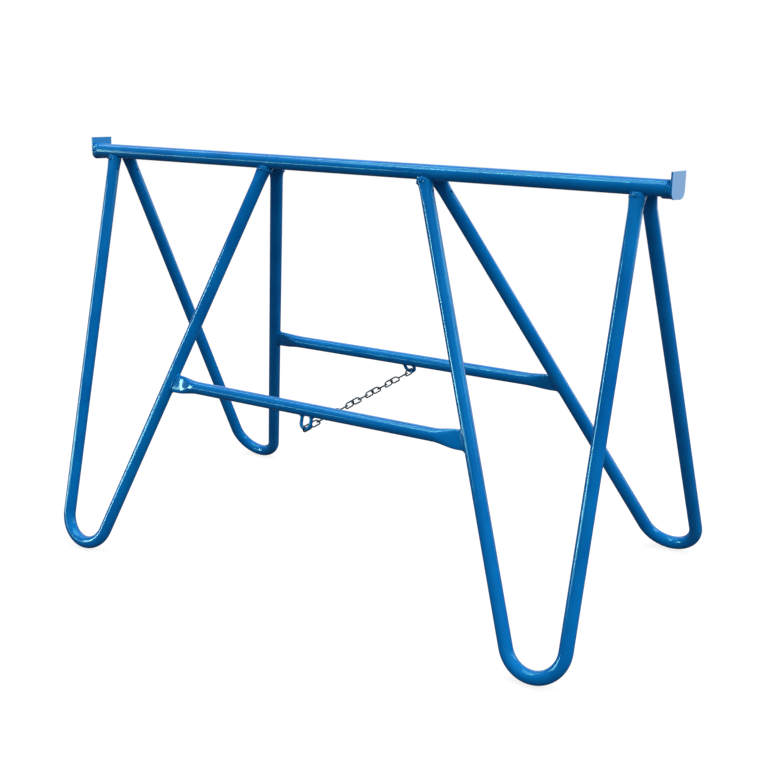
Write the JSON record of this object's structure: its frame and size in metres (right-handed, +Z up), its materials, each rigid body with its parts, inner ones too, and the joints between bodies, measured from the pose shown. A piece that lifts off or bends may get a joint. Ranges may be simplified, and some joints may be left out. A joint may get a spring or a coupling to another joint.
{
  "type": "folding trestle",
  "caption": "Folding site trestle in blue enamelled steel tube, with bent V legs, cross braces, end stops and a spread-limiting chain.",
  "frame": {"origin": "on the ground, midway between the four feet of the opened trestle", "axes": "+X along the top rail, +Z up, with the front frame, which carries the rail, towards -Y and the hinged back frame towards +Y"},
  "size_m": [1.3, 0.6066, 0.8132],
  "materials": {
    "enamel": "glossy blue enamel over steel tube",
    "stop_enamel": "blue enamel over flat steel plate, with a softer gloss",
    "zinc": "zinc-plated chain wire, dulled by handling"
  },
  "bodies": {
    "front_frame": {"top_rail": "enamel", "end_stop_left": "stop_enamel", "end_stop_right": "stop_enamel", "rail_weld_left": "enamel", "rail_weld_right": "enamel", "hinge_bush_left": "enamel", "hinge_bush_right": "enamel", "front_leg_left": "enamel", "front_leg_right": "enamel", "front_outer_leg_weld_left": "enamel", "front_outer_leg_weld_right": "enamel", "front_inner_leg_weld_left": "enamel", "front_inner_leg_weld_right": "enamel", "front_brace": "enamel", "front_brace_weld_left": "enamel", "front_brace_weld_right": "enamel", "front_staple": "enamel"},
    "back_frame": {"hinge_rod": "enamel", "back_leg_left": "enamel", "back_leg_right": "enamel", "back_outer_leg_weld_left": "enamel", "back_outer_leg_weld_right": "enamel", "back_inner_leg_weld_left": "enamel", "back_inner_leg_weld_right": "enamel", "back_brace": "enamel", "back_brace_weld_left": "enamel", "back_brace_weld_right": "enamel", "back_staple": "enamel"},
    "chain_front": {"chain_link_01": "zinc", "chain_link_02": "zinc", "chain_link_03": "zinc", "chain_link_04": "zinc", "chain_link_05": "zinc", "chain_link_06": "zinc", "chain_link_07": "zinc", "chain_link_08": "zinc", "chain_link_09": "zinc", "chain_link_10": "zinc", "chain_link_11": "zinc", "chain_link_12": "zinc", "chain_link_13": "zinc", "chain_link_14": "zinc"},
    "chain_back": {"chain_link_15": "zinc", "chain_link_16": "zinc"}
  },
  "joints": [
    {"name": "fold", "type": "hinge", "parent": "front_frame", "child": "back_frame", "pos_m": [0, 0.01806, 0.77454], "axis": [-1, 0, 0], "range_deg": [0, 39.4]},
    {"name": "chain_front_swing", "type": "hinge", "parent": "front_frame", "child": "chain_front", "pos_m": [-0.001, -0.17946, 0.32375], "axis": [-1, 0, 0], "range_deg": [0, 110]},
    {"name": "chain_back_swing", "type": "hinge", "parent": "back_frame", "child": "chain_back", "pos_m": [0, 0.17761, 0.32893], "axis": [1, 0, 0], "range_deg": [0, 110]}
  ],
  "couplings": [
    {"joint": "chain_front_swing", "follows": "fold", "ratio": 2.784},
    {"joint": "chain_back_swing", "follows": "fold", "ratio": 2.784}
  ]
}
